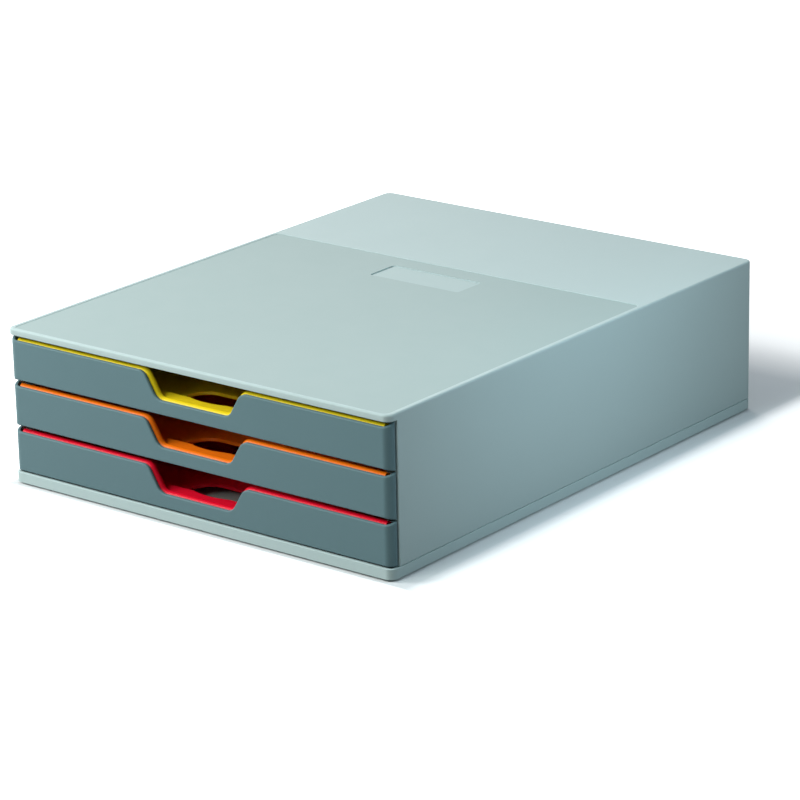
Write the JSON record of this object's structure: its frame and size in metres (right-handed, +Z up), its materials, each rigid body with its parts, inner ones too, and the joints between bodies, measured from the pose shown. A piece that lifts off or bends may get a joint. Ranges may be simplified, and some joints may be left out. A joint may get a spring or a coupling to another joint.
{
  "type": "desk drawer box",
  "caption": "Low free-standing desk box whose shallow full-width drawers slide out of the front, each with a sloped handle notch and a coloured tray.",
  "frame": {"origin": "middle of the footprint, on the surface that the feet stand on", "axes": "+X to the right across the front, +Y from the front to the back, +Z up"},
  "size_m": [0.28, 0.356, 0.095],
  "materials": {
    "housing": "fine-grained moulded plastic, pale cool grey",
    "base": "fine-grained moulded plastic, pale cool grey",
    "badge": "smooth bare plastic plate",
    "screw": "zinc-plated steel",
    "foot": "matt black rubber",
    "rail": "smooth low-friction plastic, grey",
    "tray_red": "smooth satin plastic, red",
    "tray_orange": "smooth satin plastic, orange",
    "tray_yellow": "smooth satin plastic, yellow",
    "front": "fine-grained moulded plastic, dark blue-grey"
  },
  "bodies": {
    "root": {"housing_shell": "housing", "base_plate": "base", "badge_plate": "badge", "base_screws": "screw", "foot_front_left": "foot", "foot_front_right": "foot", "foot_rear_left": "foot", "foot_rear_right": "foot", "rail_left_lower": "rail", "rail_left_middle": "rail", "rail_left_upper": "rail", "rail_right_lower": "rail", "rail_right_middle": "rail", "rail_right_upper": "rail"},
    "lower_drawer": {"tray_lower": "tray_red", "front_lower": "front"},
    "middle_drawer": {"tray_middle": "tray_orange", "front_middle": "front"},
    "upper_drawer": {"tray_upper": "tray_yellow", "front_upper": "front"}
  },
  "joints": [
    {"name": "lower_drawer_slide", "type": "slide", "parent": "root", "child": "lower_drawer", "axis": [0, -1, 0], "range_m": [0, 0.26]},
    {"name": "middle_drawer_slide", "type": "slide", "parent": "root", "child": "middle_drawer", "axis": [0, -1, 0], "range_m": [0, 0.26]},
    {"name": "upper_drawer_slide", "type": "slide", "parent": "root", "child": "upper_drawer", "axis": [0, -1, 0], "range_m": [0, 0.26]}
  ]
}
